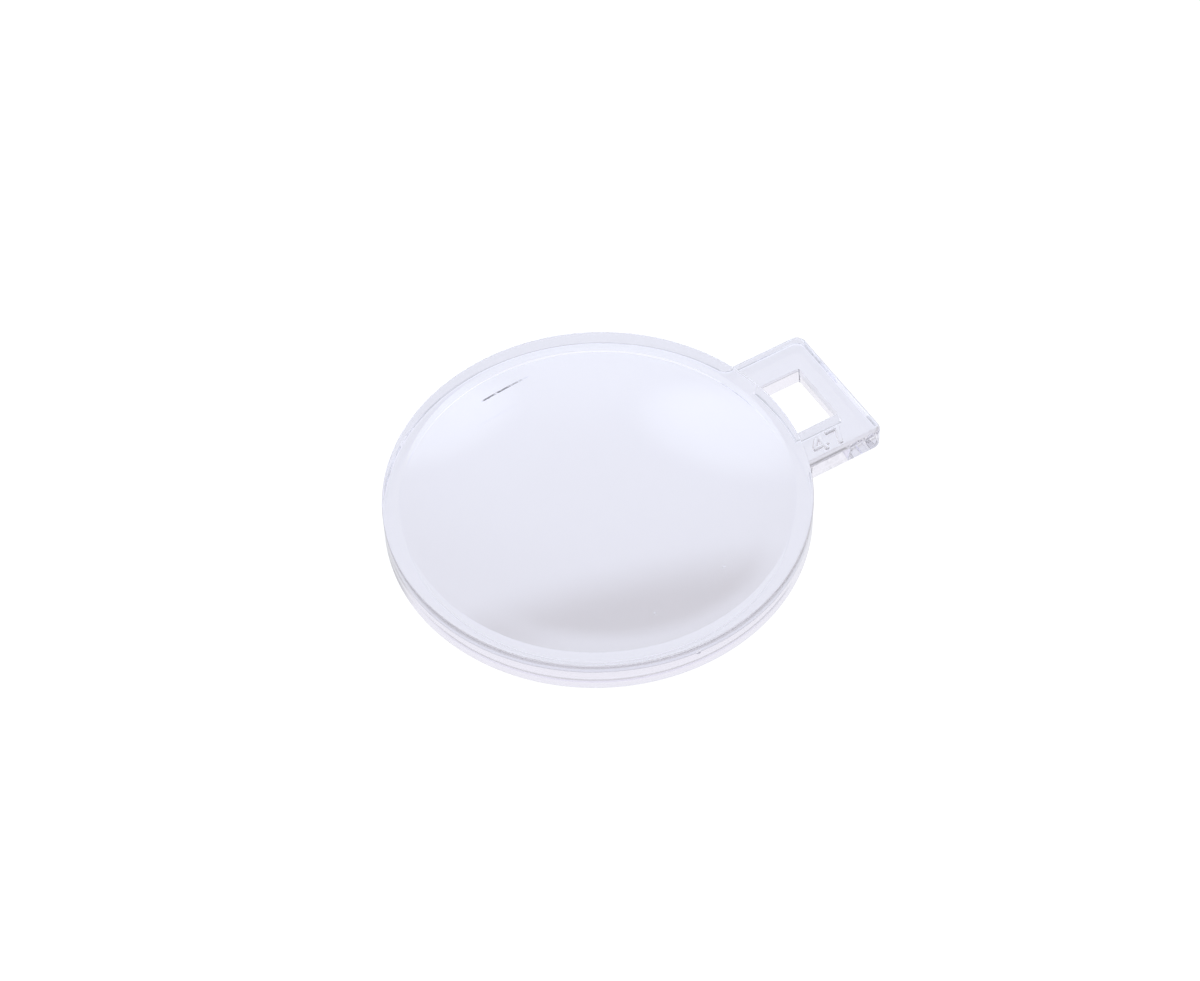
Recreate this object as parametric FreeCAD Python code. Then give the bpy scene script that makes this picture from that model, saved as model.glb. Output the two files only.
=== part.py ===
import FreeCAD, Part
import math
import os

# A clear magnifying lens moulded in one piece: a lens crowned above and flat beneath inside a
# round rim, and a flat tab beside it with a window that a holder's tongue goes through.
# The optical axis is Z, the foot ring lies in the plane Z = 0 and the tab reaches out along +X.
# All lengths are in millimetres.

# Rim
disc_diameter = 50.0        # across the rim's outer wall
rim_height = 4.1            # from the foot to the rim's flat top
rim_top_width = 2.0         # flat ring between the outer wall and the upper lens face
rim_edge_radius = 0.25      # rounding of the rim's top outer edge
foot_width = 2.3            # flat ring that the lens stands on
foot_edge_radius = 0.25     # rounding of every edge that meets the standing plane from outside

# Lens faces
upper_curve_radius = 72.0   # the upper face, crowned upwards
lower_face_height = 0.3     # the flat lower face, set up inside the foot and clear of the table

# Tab
tab_length = 9.1            # from the rim's outer wall to the tab's end
tab_width = 18.0
tab_thickness = 3.0
tab_corner_radius = 1.3     # the two outer corners, seen from above
tab_edge_radius = 0.7       # rounding along the tab's upper edges
junction_radius = 1.2       # hollow corner where the tab's sides meet the rim

# Window in the tab, closed on its inner side by the rim's outer wall
window_length = 5.7         # from the rim's outer wall outwards, at the tab's top
window_width = 8.0          # at the tab's top
window_draft_angle = 7.5    # lean of its three walls, which widens the window downwards
window_corner_radius = 0.3

closeness = 0.001           # places nearer than this count as one
cut_margin = 1.0            # how far a cutting shape passes beyond what it cuts

rim_radius = disc_diameter / 2
upper_face_radius = rim_radius - rim_top_width
lower_face_radius = rim_radius - foot_width
mid_foot_radius = rim_radius - foot_width / 2


def point(x, y, z):
    return FreeCAD.Vector(x, y, z)


def crown(curve_radius, edge_radius):
    """Rise of a spherical face from its edge to its middle."""
    return curve_radius - math.sqrt(curve_radius ** 2 - edge_radius ** 2)


def straight(start, end):
    return Part.makeLine(start, end)


def upper_face():
    """The cap of a ball between the flat circle of the upper face's edge and its middle.

    The ball lies on its side, so that neither its poles nor its seam fall on the face.
    """
    rise = crown(upper_curve_radius, upper_face_radius)
    centre = point(0, 0, rim_height + rise - upper_curve_radius)
    ball = Part.makeSphere(upper_curve_radius, centre, point(-1, 0, 0))
    slab_corner = point(-rim_radius, -rim_radius, rim_height)
    slab = Part.makeBox(disc_diameter, disc_diameter, rise + cut_margin, slab_corner)
    return ball.common(slab)


def rim_disc():
    """A flat disc with the rim's upright wall and its rounded upper edge."""
    disc = Part.makeCylinder(rim_radius, rim_height)
    upper = [e for e in disc.Edges if e.BoundBox.ZMin > rim_height - closeness]
    return disc.makeFillet(rim_edge_radius, upper)


def lens_body():
    """The rimmed disc with the crowned face on top and the shallow recess of the lower face."""
    recess = Part.makeCylinder(lower_face_radius, lower_face_height)
    return rim_disc().cut(recess).fuse(upper_face())


def is_upright(edge):
    return edge.BoundBox.XLength < closeness and edge.BoundBox.YLength < closeness


def tab_block():
    """The tab's plate with its outer corners and upper edges rounded, reaching in to the axis."""
    reach = rim_radius + tab_length
    plate = Part.makeBox(reach, tab_width, tab_thickness, point(0, -tab_width / 2, 0))
    corners = [e for e in plate.Edges if is_upright(e) and e.BoundBox.XMin > rim_radius]
    plate = plate.makeFillet(tab_corner_radius, corners)
    upper = [
        e for e in plate.Edges
        if e.BoundBox.ZMin > tab_thickness - closeness and e.BoundBox.XMax > rim_radius
    ]
    return plate.makeFillet(tab_edge_radius, upper)


def junction_fill(side):
    """The hollow corner between the rim and one side of the tab, up to where the edge rounds off."""
    half = tab_width / 2
    hollow_y = half + junction_radius
    hollow_x = math.sqrt((rim_radius + junction_radius) ** 2 - hollow_y ** 2)
    share = rim_radius / (rim_radius + junction_radius)
    on_rim = point(hollow_x * share, side * hollow_y * share, 0)
    on_side = point(hollow_x, side * half, 0)
    inner = point(0, side * half, 0)
    middle_direction = (on_rim + on_side) * 0.5 - point(hollow_x, side * hollow_y, 0)
    middle_direction.normalize()
    middle = point(hollow_x, side * hollow_y, 0) + middle_direction * junction_radius
    outline = Part.Wire([
        straight(inner, on_rim),
        Part.Arc(on_rim, middle, on_side).toShape(),
        straight(on_side, inner),
    ])
    return Part.Face(outline).extrude(point(0, 0, tab_thickness - tab_edge_radius))


def window_outline(z):
    """The window's outline at one height, from inside the rim's wall to its leaning outer walls."""
    widening = (tab_thickness - z) * math.tan(math.radians(window_draft_angle))
    outer_x = rim_radius + window_length + widening
    side_y = window_width / 2 + widening
    return Part.makePolygon([
        point(mid_foot_radius, -side_y, z),
        point(outer_x, -side_y, z),
        point(outer_x, side_y, z),
        point(mid_foot_radius, side_y, z),
        point(mid_foot_radius, -side_y, z),
    ])


def window():
    """The opening through the tab, with its two outer corners rounded."""
    heights = (-cut_margin, tab_thickness + cut_margin)
    opening = Part.makeLoft([window_outline(z) for z in heights], True, True)
    corners = [e for e in opening.Edges if e.BoundBox.ZLength > tab_thickness and e.BoundBox.XMin > rim_radius]
    return opening.makeFillet(window_corner_radius, corners)


def on_ground(edge):
    return abs(edge.BoundBox.ZMin) < closeness and abs(edge.BoundBox.ZMax) < closeness


def stands_outside_foot(edge):
    """True for the lower edges of the outline and the window, false for the foot's inner edge."""
    middle = edge.valueAt((edge.FirstParameter + edge.LastParameter) / 2)
    return math.hypot(middle.x, middle.y) > mid_foot_radius


def magnifier_lens():
    tab = tab_block().fuse([junction_fill(1), junction_fill(-1)])
    tab = tab.cut(Part.makeCylinder(mid_foot_radius, rim_height))
    tab = tab.cut(window())
    piece = lens_body().fuse(tab).removeSplitter()
    lower = [e for e in piece.Edges if on_ground(e) and stands_outside_foot(e)]
    piece = piece.makeFillet(foot_edge_radius, lower)
    return piece.Solids[0]


def main():
    os.makedirs("parts", exist_ok=True)
    magnifier_lens().exportStep("parts/magnifier_lens.step")


main()
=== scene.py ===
import math

import bmesh
import bpy
from mathutils import Matrix, Vector


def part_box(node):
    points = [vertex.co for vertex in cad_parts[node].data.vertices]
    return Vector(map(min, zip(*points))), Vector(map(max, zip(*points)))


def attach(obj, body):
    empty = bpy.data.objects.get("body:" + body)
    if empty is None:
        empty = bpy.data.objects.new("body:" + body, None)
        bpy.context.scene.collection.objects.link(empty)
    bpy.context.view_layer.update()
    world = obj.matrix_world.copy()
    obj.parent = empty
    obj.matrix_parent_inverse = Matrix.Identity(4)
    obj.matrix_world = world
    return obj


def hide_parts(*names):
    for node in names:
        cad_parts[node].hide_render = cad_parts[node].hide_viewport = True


# A clear magnifying lens with a windowed tab, moulded in one piece, on a plain pale floor.
# Lengths are written in millimetres and turned to metres by MM.

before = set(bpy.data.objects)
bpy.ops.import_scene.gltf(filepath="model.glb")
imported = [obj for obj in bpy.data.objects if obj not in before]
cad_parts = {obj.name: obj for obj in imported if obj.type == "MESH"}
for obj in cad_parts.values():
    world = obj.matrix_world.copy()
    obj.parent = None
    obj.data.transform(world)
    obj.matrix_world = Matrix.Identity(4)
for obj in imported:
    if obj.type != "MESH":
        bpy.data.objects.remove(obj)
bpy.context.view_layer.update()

MM = 0.001
NODE = "magnifier_lens"
low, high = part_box(NODE)

# Rim and lens faces
disc_radius = min(high.y, -low.y)
rim_height = 4.1 * MM
rim_top_width = 2.0 * MM
rim_edge_radius = 0.25 * MM
foot_width = 2.3 * MM
foot_edge_radius = 0.25 * MM
upper_face_radius = disc_radius - rim_top_width
mid_foot_radius = disc_radius - foot_width / 2
lens_top = high.z
lower_face_height = 0.3 * MM

# Tab
tab_end = high.x
tab_half_width = 9.0 * MM
tab_thickness = 3.0 * MM
tab_corner_radius = 1.3 * MM
tab_edge_radius = 0.7 * MM
tab_inner_end = mid_foot_radius - 2 * foot_width    # inside the rim, until the round cut
junction_radius = 1.2 * MM
window_end = disc_radius + 5.7 * MM
window_half_width = 4.0 * MM
window_draft = math.tan(math.radians(7.5))
window_corner_radius = 0.3 * MM

# Raised figures on the strip of the tab beside the window
mark_strokes = [            # both ends of each ridge and its radius, in millimetres
    ((26.35, -6.12), (25.37, -7.22), 0.29),
    ((25.22, -7.41), (27.13, -7.36), 0.31),
    ((26.58, -5.97), (26.61, -8.08), 0.33),
    ((27.74, -6.03), (29.18, -5.99), 0.31),
    ((29.37, -5.94), (28.43, -8.12), 0.33),
]
stroke_sunk = 0.05 * MM     # how far a ridge's centre line lies below the tab's top
stroke_end_share = 0.8      # rounding of a ridge's ends, as a share of its radius

# Fineness of the mesh
round_steps = 1024          # sides of the disc
upper_rings = 32
stroke_steps = 48
edge_steps = 8              # faces across a rounded edge
foot_edge_steps = 5
hollow_steps = 96           # sides of a whole turn of the hollow corners
crease_angle = math.radians(15)
corner_angle = math.radians(45)
flat_angle = math.radians(1)
closeness = 0.002 * MM      # places nearer than this count as one
cut_margin = 1.0 * MM       # how far a cutting shape passes beyond what it cuts

# Clear plastic
acrylic_ior = 1.49
acrylic_tint = (0.937, 0.922, 1.0)
depth_colour = (0.80, 0.79, 0.84)
depth_density = 8.0
haze_low, haze_high = 0.006, 0.014      # roughness of the polished faces
haze_scale, haze_detail = 900.0, 4.0
wave_height = 0.005 * MM                # slight waves left by the mould
wave_scale, wave_detail = 130.0, 1.0
polish_range = (0.5, 0.9)               # upward part of the normal at no polish and at full polish

# Wear and dirt
scuff_start = (-5.12 * MM, 18.10 * MM)
scuff_end = (2.0 * MM, 18.57 * MM)
scuff_width = 0.21 * MM
scuff_core_width = 0.07 * MM
scuff_lead_in, scuff_fade_from = 1 / 12, 1 / 2      # shares of its length
scuff_rise = 0.5 * MM                   # height above the rim at which it is at full strength
scuff_patch_scale, scuff_patch_detail = 3200.0, 3.0
scuff_patch_range = (0.3, 0.55)
scuff_colour = (0.06, 0.05, 0.06)
scuff_depth = 0.8
specks = [                              # place and radius
    ((5.94 * MM, -17.77 * MM, 5.39 * MM), 0.18 * MM),
    ((-4.04 * MM, -19.10 * MM, 5.17 * MM), 0.15 * MM),
]
spot_core = 1 / 3                       # share of a speck's or pit's radius at full strength
speck_colour = (0.95, 0.95, 0.97)
speck_depth = 0.35
wall_pit = ((-1.92 * MM, -24.93 * MM, 3.02 * MM), 0.35 * MM)
pit_depth = 0.1 * MM

# Floor
floor_size = 6              # metres
floor_gap = 0.02 * MM       # the floor lies this far below the foot
floor_colour = (0.2, 0.2, 0.2)
floor_lift = 0.92
floor_lift_through_plastic = 0.64

# Light: azimuth, elevation, radius at full strength and radius at none, all in degrees
bright_side = (73, 10, 62, 74)
bright_level = 2.2
overhead_light = (-60, 70, 22, 44)
overhead_level = 1.7
dark_gap = (58, 59, 26.5, 30.5)
dark_level = 0.15
soft_lights = [             # the same four numbers and the strength
    (60, 46, 10, 36, 0.5),
    (84, 25, 3, 13, 0.65),
    (38, 32, 4, 15, 0.75),
]
dark_colour = (1.0, 0.96, 1.0)
light_colour = (0.77, 0.85, 1.0)
backdrop_colour = (1.0, 1.0, 1.0)
dim_backdrop = 0.45         # through the plastic, on the side opposite to the bright one
longest_light_path = 32

# Camera
camera_above = math.radians(50.89)
camera_around = math.radians(-29.64)
camera_roll = math.radians(-2.008)
camera_distance = 350 * MM
camera_lens = 89.95
camera_sensor = 36
camera_clip_start = 10 * MM
aim_right = 0.19 * MM
aim_up = 2.70 * MM


# Modelling by hand

def start_piece(name):
    """Names the primitive that was just added and puts its place into its mesh."""
    piece = bpy.context.active_object
    piece.name = name
    piece.data.name = name
    bpy.ops.object.transform_apply(location=True, rotation=True, scale=True)
    return piece


def edit(piece):
    """Opens one piece in edit mode, with nothing else selected."""
    bpy.ops.object.mode_set(mode="OBJECT")
    bpy.ops.object.select_all(action="DESELECT")
    piece.select_set(True)
    bpy.context.view_layer.objects.active = piece
    bpy.ops.object.mode_set(mode="EDIT")


def leave_edit():
    bpy.ops.object.mode_set(mode="OBJECT")


def pick(piece, kind, wanted):
    """Selects only those faces or edges of the piece in edit mode that are wanted."""
    bpy.ops.mesh.select_mode(type=kind)
    bpy.ops.mesh.select_all(action="DESELECT")
    shape = bmesh.from_edit_mesh(piece.data)
    for element in shape.faces if kind == "FACE" else shape.edges:
        element.select_set(wanted(element))
    bmesh.update_edit_mesh(piece.data)


def near(a, b):
    return abs(a - b) < closeness


def lies_at(z):
    """A test for edges and faces that lie flat at this height."""
    return lambda element: all(near(corner.co.z, z) for corner in element.verts)


def is_upright(edge):
    one, other = edge.verts
    return near(one.co.x, other.co.x) and near(one.co.y, other.co.y)


def add_box(name, lowest, highest):
    bpy.ops.object.select_all(action="DESELECT")
    lowest, highest = Vector(lowest), Vector(highest)
    bpy.ops.mesh.primitive_cube_add(size=1, location=(lowest + highest) / 2, scale=highest - lowest)
    return start_piece(name)


def add_cylinder(name, radius, lowest, highest, steps, centre=(0, 0)):
    bpy.ops.object.select_all(action="DESELECT")
    middle = (*centre, (lowest + highest) / 2)
    bpy.ops.mesh.primitive_cylinder_add(
        vertices=steps, radius=radius, depth=highest - lowest, location=middle, end_fill_type="NGON"
    )
    return start_piece(name)


def apply_modifier(piece, kind, **settings):
    bpy.ops.object.select_all(action="DESELECT")
    piece.select_set(True)
    bpy.context.view_layer.objects.active = piece
    modifier = piece.modifiers.new(kind, kind)
    for name, value in settings.items():
        setattr(modifier, name, value)
    bpy.ops.object.modifier_apply(modifier=modifier.name)


def combine(piece, tool, operation):
    """Joins the tool to the piece or cuts it away, and removes the tool."""
    apply_modifier(piece, "BOOLEAN", operation=operation, solver="EXACT", object=tool)
    bpy.data.objects.remove(tool)


# The lens

def crown_face(edge_radius, rise, rings):
    """Raises the selected round face into the cap of a ball, ring by ring."""
    curve = (edge_radius ** 2 + rise ** 2) / (2 * rise)

    def height(radius):
        return math.sqrt(curve ** 2 - radius ** 2)

    step = edge_radius / rings
    for ring in range(rings - 1):
        outer = edge_radius - ring * step
        bpy.ops.mesh.inset(thickness=step * math.cos(math.pi / round_steps))
        climb = height(outer - step) - height(outer)
        bpy.ops.transform.translate(value=(0, 0, climb))
    bpy.ops.mesh.poke(offset=height(0) - height(step))


def make_disc():
    """The round lens with its rim: a cylinder, rounded, crowned above and recessed beneath."""
    disc = add_cylinder("disc", disc_radius, 0, rim_height, round_steps)
    edit(disc)
    pick(disc, "EDGE", lies_at(rim_height))
    bpy.ops.mesh.bevel(offset=rim_edge_radius, segments=edge_steps, affect="EDGES")
    pick(disc, "FACE", lies_at(rim_height))
    bpy.ops.mesh.inset(thickness=rim_top_width - rim_edge_radius)
    crown_face(upper_face_radius, lens_top - rim_height, upper_rings)
    pick(disc, "FACE", lies_at(0))
    bpy.ops.mesh.inset(thickness=foot_width)
    bpy.ops.mesh.extrude_region_move(TRANSFORM_OT_translate={"value": (0, 0, lower_face_height)})
    leave_edit()
    return disc


def make_window_cutter():
    """The window's shape: a box that widens downwards on its three free sides."""
    below, above = -cut_margin, tab_thickness + cut_margin
    cutter = add_box(
        "window_cutter",
        (mid_foot_radius, -window_half_width, below), (window_end, window_half_width, above),
    )
    edit(cutter)
    shape = bmesh.from_edit_mesh(cutter.data)
    for corner in shape.verts:
        widening = (tab_thickness - corner.co.z) * window_draft
        corner.co.y += math.copysign(widening, corner.co.y)
        if near(corner.co.x, window_end):
            corner.co.x += widening
    bmesh.update_edit_mesh(cutter.data)

    def is_outer_corner(edge):
        one, other = edge.verts
        rises = abs(one.co.z - other.co.z) > tab_thickness
        return rises and one.co.x > disc_radius

    pick(cutter, "EDGE", is_outer_corner)
    bpy.ops.mesh.bevel(offset=window_corner_radius, segments=edge_steps, affect="EDGES")
    leave_edit()
    return cutter


def make_neck():
    """The block that fills the hollow corners where the tab's sides run into the rim."""
    hollow_y = tab_half_width + junction_radius
    hollow_x = math.sqrt((disc_radius + junction_radius) ** 2 - hollow_y ** 2)
    reach_y = hollow_y * disc_radius / (disc_radius + junction_radius)
    neck = add_box(
        "neck",
        (tab_inner_end, -reach_y, 0), (hollow_x, reach_y, tab_thickness - tab_edge_radius),
    )
    for side in (1, -1):
        hollow = add_cylinder(
            "hollow", junction_radius, -cut_margin, tab_thickness + cut_margin, hollow_steps,
            (hollow_x, side * hollow_y),
        )
        combine(neck, hollow, "DIFFERENCE")
    return neck


def make_tab():
    """The flat tab with rounded corners and upper edges, its window and its hollow corners."""
    tab = add_box("tab", (tab_inner_end, -tab_half_width, 0), (tab_end, tab_half_width, tab_thickness))
    edit(tab)
    pick(tab, "EDGE", lambda e: is_upright(e) and near(e.verts[0].co.x, tab_end))
    bpy.ops.mesh.bevel(offset=tab_corner_radius, segments=edge_steps, affect="EDGES")
    at_top = lies_at(tab_thickness)
    pick(tab, "EDGE", lambda e: at_top(e) and max(v.co.x for v in e.verts) > tab_inner_end + closeness)
    bpy.ops.mesh.bevel(offset=tab_edge_radius, segments=edge_steps, affect="EDGES")
    leave_edit()
    combine(tab, make_neck(), "UNION")
    inner_end = add_cylinder("inner_end", mid_foot_radius, -cut_margin, rim_height, round_steps)
    combine(tab, inner_end, "DIFFERENCE")
    combine(tab, make_window_cutter(), "DIFFERENCE")
    return tab


def make_stroke(start, end, radius):
    """One raised ridge of the mark: a round bar with rounded ends, half sunk in the tab's top."""
    height = tab_thickness - stroke_sunk
    start, end = (Vector((x * MM, y * MM, height)) for x, y in (start, end))
    run = end - start
    radius = radius * MM
    bpy.ops.object.select_all(action="DESELECT")
    bpy.ops.mesh.primitive_cylinder_add(
        vertices=stroke_steps, radius=radius, depth=run.length + radius,
        location=(start + end) / 2, rotation=run.to_track_quat("Z", "Y").to_euler(),
    )
    stroke = start_piece("stroke")
    edit(stroke)
    pick(stroke, "EDGE", lambda e: e.calc_face_angle() > corner_angle)
    bpy.ops.mesh.bevel(offset=radius * stroke_end_share, segments=edge_steps, affect="EDGES")
    leave_edit()
    return stroke


def make_mark():
    """The raised figures, two plain digits built of straight ridges.

    Ridges that meet have ends and radii of their own, which keeps their joints clean.
    """
    mark = make_stroke(*mark_strokes[0])
    for stroke in mark_strokes[1:]:
        combine(mark, make_stroke(*stroke), "UNION")
    return mark


def make_lens():
    """The whole moulding: disc and tab joined, their lower edges rounded, and the mark added."""
    lens = make_disc()
    combine(lens, make_tab(), "UNION")
    edit(lens)
    bpy.ops.mesh.select_all(action="SELECT")
    bpy.ops.mesh.remove_doubles(threshold=closeness)
    bpy.ops.mesh.delete_loose(use_faces=True)
    at_floor = lies_at(0)
    pick(lens, "FACE", at_floor)
    bpy.ops.mesh.dissolve_limited(angle_limit=flat_angle)

    def stands_outside_foot(edge):
        middle = (edge.verts[0].co + edge.verts[1].co) / 2
        is_corner = len(edge.link_faces) == 2 and edge.calc_face_angle() > crease_angle
        return at_floor(edge) and is_corner and middle.xy.length > mid_foot_radius

    # Without loop_slide the rounding doesn't run along the seams in the flat lower face
    pick(lens, "EDGE", stands_outside_foot)
    bpy.ops.mesh.bevel(
        offset=foot_edge_radius, segments=foot_edge_steps, affect="EDGES", loop_slide=False
    )
    bpy.ops.mesh.select_all(action="SELECT")
    bpy.ops.mesh.normals_make_consistent(inside=False)
    leave_edit()
    combine(lens, make_mark(), "UNION")
    bpy.ops.object.shade_smooth_by_angle(angle=crease_angle)
    apply_modifier(lens, "WEIGHTED_NORMAL", keep_sharp=True)
    lens.name = "clear_lens"
    return lens


# Shader maths

class Socket:
    """One output of a node tree. Expressions on sockets add the Math nodes that work them out."""

    def __init__(self, tree, output=None):
        self.tree = tree
        self.output = output

    def node(self, kind, settings=None, inputs=None, output=0):
        """Adds a node with its settings, then the values or links of its sockets."""
        made = self.tree.nodes.new(kind)
        for name, value in (settings or {}).items():
            setattr(made, name, value)
        for name, value in (inputs or {}).items():
            if isinstance(value, Socket):
                self.tree.links.new(value.output, made.inputs[name])
            else:
                made.inputs[name].default_value = value
        return Socket(self.tree, made.outputs[output] if made.outputs else None)

    def math(self, operation, *others):
        return self.node("ShaderNodeMath", {"operation": operation}, dict(enumerate((self, *others))))

    def __add__(self, other):
        return self.math("ADD", other)

    def __radd__(self, other):
        return self.math("ADD", other)

    def __mul__(self, other):
        return self.math("MULTIPLY", other)

    def __rmul__(self, other):
        return self.math("MULTIPLY", other)

    def __sub__(self, other):
        return self.math("SUBTRACT", other)

    def __rsub__(self, other):
        return (self * -1) + other

    def __truediv__(self, other):
        return self.math("DIVIDE", other)

    def ease(self, start, end):
        """Rises smoothly from 0 at start to 1 at end, or falls where end is the smaller."""
        settings = {"interpolation_type": "SMOOTHSTEP"}
        low_end, high_end = sorted((start, end))
        rise = self.node("ShaderNodeMapRange", settings, {0: self, 1: low_end, 2: high_end})
        return rise if end > start else 1 - rise

    def parts(self):
        """The three numbers of a vector."""
        vector = {"Vector": self}
        return [self.node("ShaderNodeSeparateXYZ", {}, vector, axis) for axis in "XYZ"]

    def noise(self, scale, detail):
        inputs = {"Vector": self, "Scale": scale, "Detail": detail}
        return self.node("ShaderNodeTexNoise", {}, inputs)

    def scaled(self, colour, level):
        """A colour or vector times a number."""
        settings = {"operation": "SCALE"}
        return self.node("ShaderNodeVectorMath", settings, {0: colour, "Scale": level})

    def mixed(self, share, first, second):
        """The first colour at share 0 and the second at share 1."""
        colours = {0: share, 6: first, 7: second}
        return self.node("ShaderNodeMix", {"data_type": "RGBA"}, colours, 2)

    def shader_mix(self, share, first, second):
        return self.node("ShaderNodeMixShader", {}, {0: share, 1: first, 2: second})

    def matt(self, colour):
        return self.node("ShaderNodeBsdfDiffuse", {}, {"Color": (*colour, 1)})


def new_tree(owner):
    """An empty node tree for a material or the world, as the first socket to build on."""
    owner.use_nodes = True
    owner.node_tree.nodes.clear()
    return Socket(owner.node_tree)


# Finishes

def scuff_mask(place):
    """1 along the scuff's line in plan, in patches, fading at its sides and towards its end."""
    start, end = Vector(scuff_start), Vector(scuff_end)
    along = (end - start).normalized()
    length = (end - start).length
    x, y, z = place.parts()
    run = (x - start.x) * along.x + (y - start.y) * along.y
    offset = (y - start.y) * along.x - (x - start.x) * along.y
    side = offset.math("ABSOLUTE").ease(scuff_width, scuff_core_width)
    reach = run.ease(0, length * scuff_lead_in) * run.ease(length, length * scuff_fade_from)
    patches = place.noise(scuff_patch_scale, scuff_patch_detail).ease(*scuff_patch_range)
    return side * reach * patches * z.ease(rim_height, rim_height + scuff_rise)


def spot_mask(place, centre, radius):
    """1 in the middle of a round spot, fading to its edge."""
    points = {0: place, 1: Vector(centre)}
    offset = place.node("ShaderNodeVectorMath", {"operation": "DISTANCE"}, points, "Value")
    return offset.ease(radius, radius * spot_core)


def make_acrylic():
    """Clear plastic, faintly lavender, with a polished upper side, slight waves, a scuff and specks."""
    material = bpy.data.materials.new("clear_acrylic")
    tree = new_tree(material)
    place = tree.node("ShaderNodeTexCoord", {}, {}, "Object")
    waves = place.noise(wave_scale, wave_detail)
    haze = place.noise(haze_scale, haze_detail)
    pit = spot_mask(place, *wall_pit) * (pit_depth / wave_height)
    relief = {"Height": waves - pit, "Distance": wave_height, "Strength": 1.0}
    facing_up = tree.node("ShaderNodeNewGeometry", {}, {}, "Normal").parts()[2]
    from_inside = tree.node("ShaderNodeNewGeometry", {}, {}, "Backfacing")
    plastic = tree.node("ShaderNodeBsdfPrincipled", {}, {
        "Base Color": (*acrylic_tint, 1),
        "Roughness": haze * (haze_high - haze_low) + haze_low,
        "IOR": acrylic_ior,
        "Transmission Weight": 1.0,
        "Coat Weight": facing_up.ease(*polish_range) * (1 - from_inside),
        "Coat Roughness": 0.0,
        "Normal": tree.node("ShaderNodeBump", {}, relief),
    })
    scuffed = tree.shader_mix(scuff_mask(place) * scuff_depth, plastic, tree.matt(scuff_colour))
    dust = sum(spot_mask(place, *speck) for speck in specks)
    dusty = tree.shader_mix(dust * speck_depth, scuffed, tree.matt(speck_colour))
    absorption = {"Color": (*depth_colour, 1), "Density": depth_density}
    depth = tree.node("ShaderNodeVolumeAbsorption", {}, absorption)
    tree.node("ShaderNodeOutputMaterial", {}, {"Surface": dusty, "Volume": depth})
    return material


def make_floor_finish():
    """A pale matt floor that looks white, apart from the object's shadow on it."""
    material = bpy.data.materials.new("pale_floor")
    tree = new_tree(material)
    to_camera, mirrored, through = (
        tree.node("ShaderNodeLightPath", {}, {}, name)
        for name in ("Is Camera Ray", "Is Glossy Ray", "Is Transmission Ray")
    )
    lift = to_camera * floor_lift + mirrored.math("MAXIMUM", through) * floor_lift_through_plastic
    white = tree.node("ShaderNodeCombineXYZ", {}, {0: lift, 1: lift, 2: lift})
    glow = tree.node("ShaderNodeEmission", {}, {"Color": white})
    surface = tree.node("ShaderNodeAddShader", {}, {0: tree.matt(floor_colour), 1: glow})
    tree.node("ShaderNodeOutputMaterial", {}, {"Surface": surface})
    return material


def direction_of(azimuth, elevation):
    """The direction at these angles, in degrees, the azimuth counted from +X towards +Y."""
    turn, climb = math.radians(azimuth), math.radians(elevation)
    level_reach = math.cos(climb)
    return Vector((math.cos(turn) * level_reach, math.sin(turn) * level_reach, math.sin(climb)))


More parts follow.
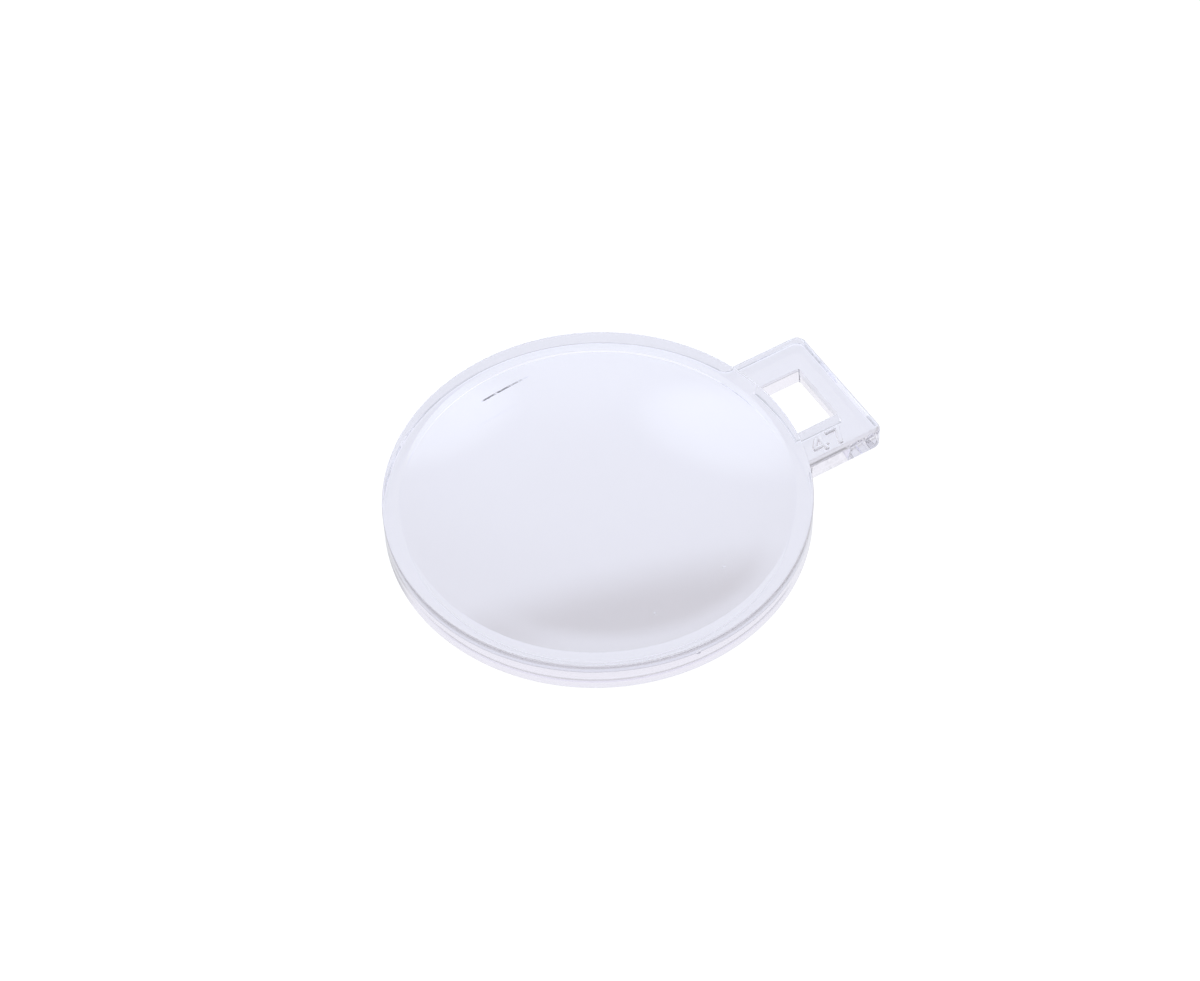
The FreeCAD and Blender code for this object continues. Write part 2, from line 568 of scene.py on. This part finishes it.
def make_world():
    """Soft light from the far side and from above, with a dark gap between the two.

    A plain backdrop takes its place for the camera, and through the plastic, where it is dimmer
    on the side that the photograph was taken from.
    """
    world = bpy.data.worlds.new("studio")
    bpy.context.scene.world = world
    tree = new_tree(world)
    direction = tree.node("ShaderNodeTexCoord", {}, {}, "Generated")

    def share_of(azimuth, elevation, inner, outer):
        """1 within the inner angle of this direction and 0 beyond the outer one."""
        facing = tree.node(
            "ShaderNodeVectorMath", {"operation": "DOT_PRODUCT"},
            {0: direction, 1: direction_of(azimuth, elevation)}, "Value",
        )
        return facing.ease(math.cos(math.radians(outer)), math.cos(math.radians(inner)))

    beyond = share_of(*bright_side)
    overhead = (1 - share_of(*dark_gap)) * share_of(*overhead_light)
    light = beyond * bright_level + overhead * overhead_level + dark_level
    for azimuth, elevation, inner, outer, level in soft_lights:
        light = light + share_of(azimuth, elevation, inner, outer) * level
    brightness = light / (light + dark_level)
    tone = tree.mixed(brightness, (*dark_colour, 1), (*light_colour, 1))
    through = tree.node("ShaderNodeLightPath", {}, {}, "Is Transmission Ray")
    to_camera = tree.node("ShaderNodeLightPath", {}, {}, "Is Camera Ray")
    dimmed = beyond * (1 - dim_backdrop) + dim_backdrop
    backdrop = tree.scaled(backdrop_colour, dimmed.math("MAXIMUM", to_camera))
    colour = tree.mixed(through.math("MAXIMUM", to_camera), tree.scaled(tone, light), backdrop)
    glow = tree.node("ShaderNodeBackground", {}, {"Color": colour})
    tree.node("ShaderNodeOutputWorld", {}, {"Surface": glow})


# Floor, camera and render settings

def make_floor():
    bpy.ops.object.select_all(action="DESELECT")
    bpy.ops.mesh.primitive_plane_add(size=floor_size, location=(0, 0, -floor_gap))
    floor = start_piece("floor")
    floor.data.materials.append(make_floor_finish())
    return floor


def make_camera():
    """The photograph's view: a long lens, 51 degrees above the table, from the side of -Y."""
    sideways, ahead = math.sin(camera_around), -math.cos(camera_around)
    level_reach = math.cos(camera_above)
    back = Vector((sideways * level_reach, ahead * level_reach, math.sin(camera_above)))
    right = Vector((0, 0, 1)).cross(back).normalized()
    up = back.cross(right)
    turned_right = math.cos(camera_roll) * right + math.sin(camera_roll) * up
    turned_up = math.cos(camera_roll) * up - math.sin(camera_roll) * right
    place = back * camera_distance + turned_right * aim_right + turned_up * aim_up
    data = bpy.data.cameras.new("camera")
    data.lens = camera_lens
    data.sensor_width = camera_sensor
    data.clip_start = camera_clip_start
    camera = bpy.data.objects.new("camera", data)
    turn = Matrix((turned_right, turned_up, back)).transposed().to_4x4()
    camera.matrix_world = Matrix.Translation(place) @ turn
    bpy.context.scene.collection.objects.link(camera)
    bpy.context.scene.camera = camera


def set_light_paths():
    """Lets light run long enough through the plastic to show its inner reflections."""
    paths = bpy.context.scene.cycles
    paths.max_bounces = longest_light_path
    paths.transmission_bounces = longest_light_path
    paths.glossy_bounces = longest_light_path


make_camera()
make_world()
set_light_paths()
lens = make_lens()
lens.data.materials.clear()
lens.data.materials.append(make_acrylic())
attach(lens, "root")
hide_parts(NODE)
make_floor()

bpy.context.scene.view_settings.view_transform = "Standard"
